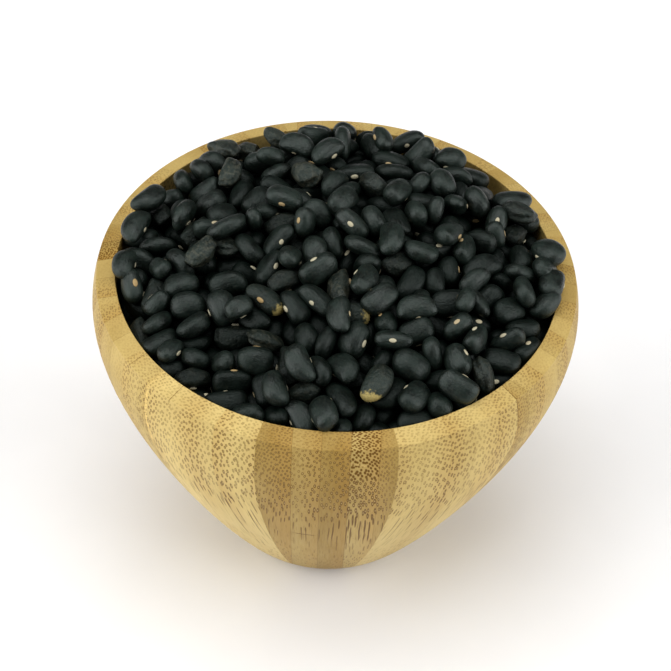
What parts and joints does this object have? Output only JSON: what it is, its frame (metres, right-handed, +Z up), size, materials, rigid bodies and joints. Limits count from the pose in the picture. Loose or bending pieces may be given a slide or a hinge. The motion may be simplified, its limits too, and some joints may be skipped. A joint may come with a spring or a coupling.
{
  "type": "bowl of dried black beans",
  "caption": "Round turned bamboo bowl with a narrow foot, heaped above its rim with dried black beans.",
  "frame": {"origin": "middle of the bowl's flat foot, on the surface it stands on", "axes": "+Z up through the middle of the bowl, -Y towards the front of the heap"},
  "size_m": [0.1226, 0.1226, 0.1076],
  "materials": {
    "bamboo": "satin, laminated strips with fine dark fibre dots",
    "black_bean": "satin seed coat, near black with a cool sheen"
  },
  "bodies": {
    "root": {"bowl": "bamboo", "beans": "black_bean"}
  },
  "joints": []
}
